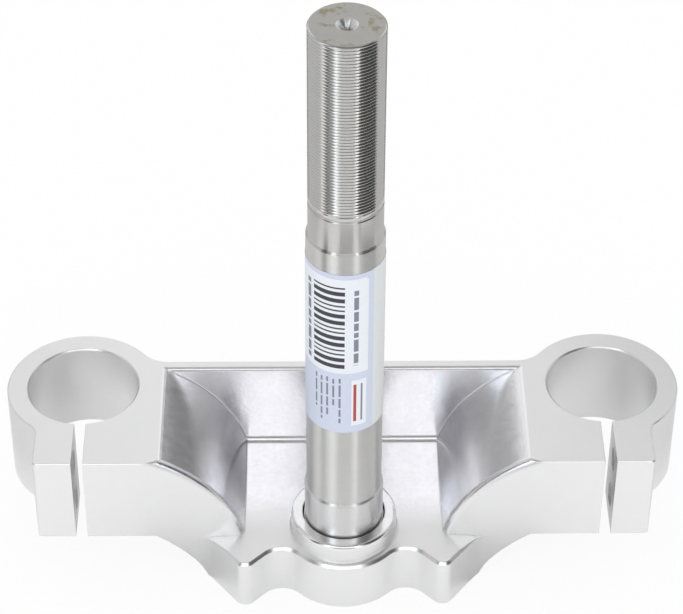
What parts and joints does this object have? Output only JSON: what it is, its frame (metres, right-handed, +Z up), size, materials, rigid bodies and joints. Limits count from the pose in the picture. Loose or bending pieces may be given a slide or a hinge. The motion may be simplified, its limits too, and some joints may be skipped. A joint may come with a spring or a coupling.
{
  "type": "lower triple clamp",
  "caption": "Lower fork bridge: wide metal yoke with split fork clamps, arched arms and a dropped base, with a pressed-in steering stem threaded at its top.",
  "frame": {"origin": "where the stem axis meets the flat underside of the base", "axes": "+Z up along the stem, +X towards the right fork tube, +Y towards the plane of the fork tubes"},
  "size_m": [0.252, 0.0893, 0.2465],
  "materials": {
    "cast_aluminium": "satin, lightly polished",
    "turned_steel": "turned, fine rings",
    "label_paper": "coated paper"
  },
  "bodies": {
    "root": {"yoke": "cast_aluminium", "steering_stem": "turned_steel", "label": "label_paper"}
  },
  "joints": []
}
